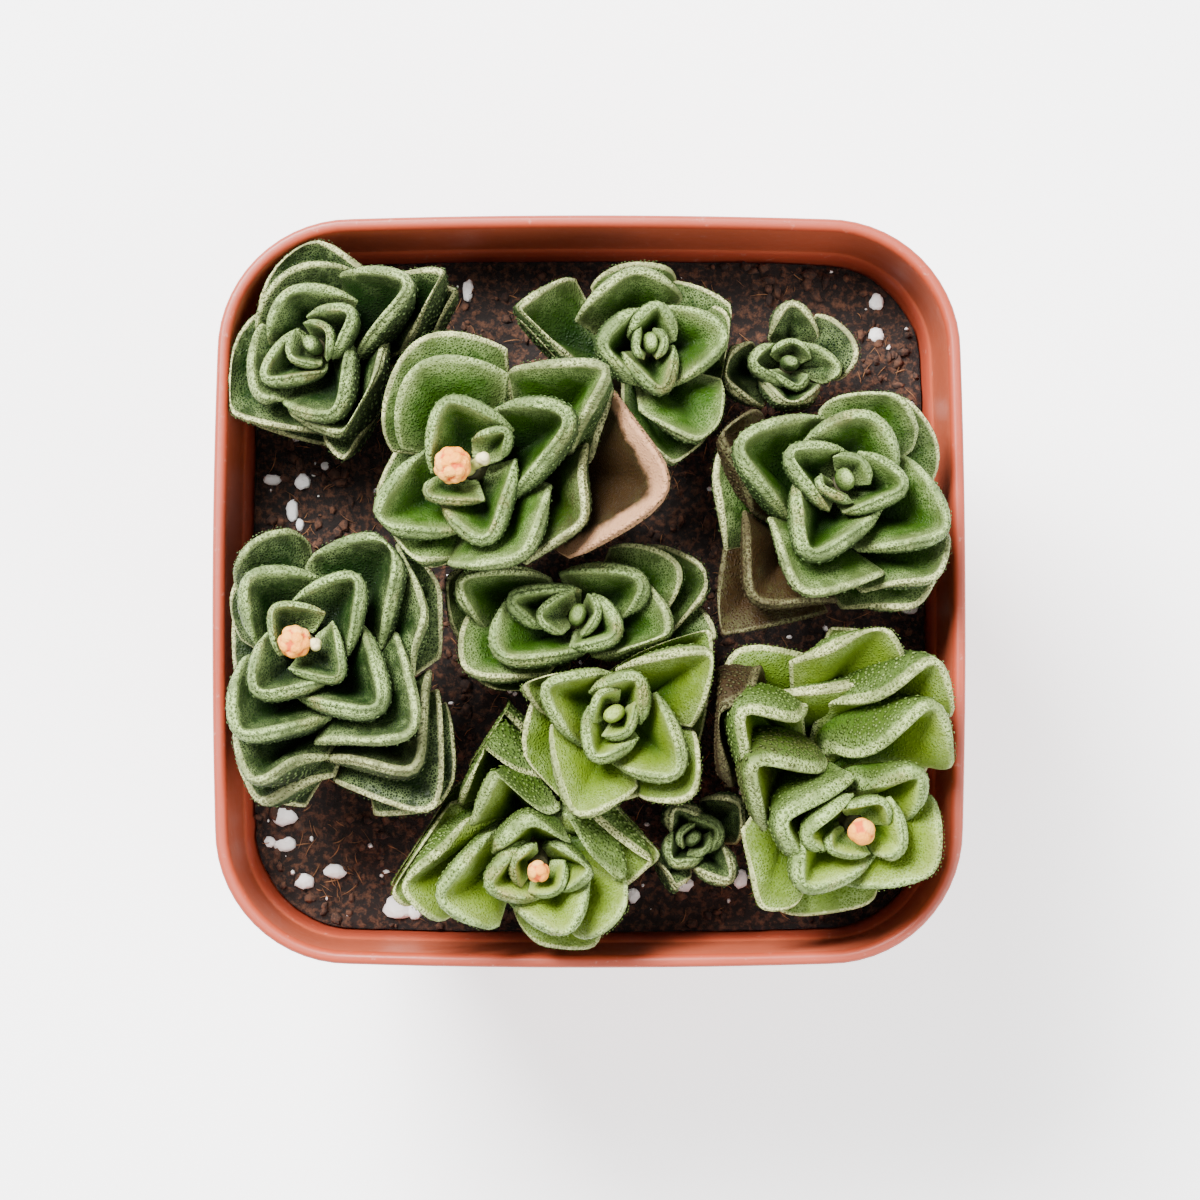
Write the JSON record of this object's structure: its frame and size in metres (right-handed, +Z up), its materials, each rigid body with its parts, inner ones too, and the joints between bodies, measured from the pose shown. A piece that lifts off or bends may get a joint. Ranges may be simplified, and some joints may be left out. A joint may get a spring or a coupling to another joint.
{
  "type": "potted crassula",
  "caption": "Square plastic nursery pot with potting mix and crowded heads of thick, folded, square-stacked crassula leaves, some with a small bud cluster at the tip.",
  "frame": {"origin": "middle of the pot's foot, on the surface it stands on", "axes": "+Z up; -Y toward the side of the pot that is at the picture's lower edge; +X toward the picture's right"},
  "size_m": [0.101, 0.101, 0.1063],
  "materials": {
    "pot": "moulded terracotta-coloured plastic, satin",
    "soil": "dark fibrous potting mix with white perlite, rough",
    "leaf": "fleshy green leaf, smooth face and rough papillose back",
    "dark_leaf": "fleshy blue-green leaf, rough papillose back",
    "bright_leaf": "fleshy yellow-green leaf, rough papillose back",
    "bud": "soft peach-pink buds"
  },
  "bodies": {
    "root": {"pot": "pot", "soil": "soil", "stem_back_left": "dark_leaf", "stem_middle_left": "leaf", "stem_back_middle": "leaf", "stem_back_right": "dark_leaf", "stem_right": "leaf", "stem_left": "dark_leaf", "stem_centre": "leaf", "stem_front_centre": "bright_leaf", "stem_front": "bright_leaf", "stem_front_small": "dark_leaf", "stem_front_right": "bright_leaf", "bud_middle_left": "bud", "bud_left": "bud", "bud_front": "bud", "bud_front_right": "bud"}
  },
  "joints": []
}
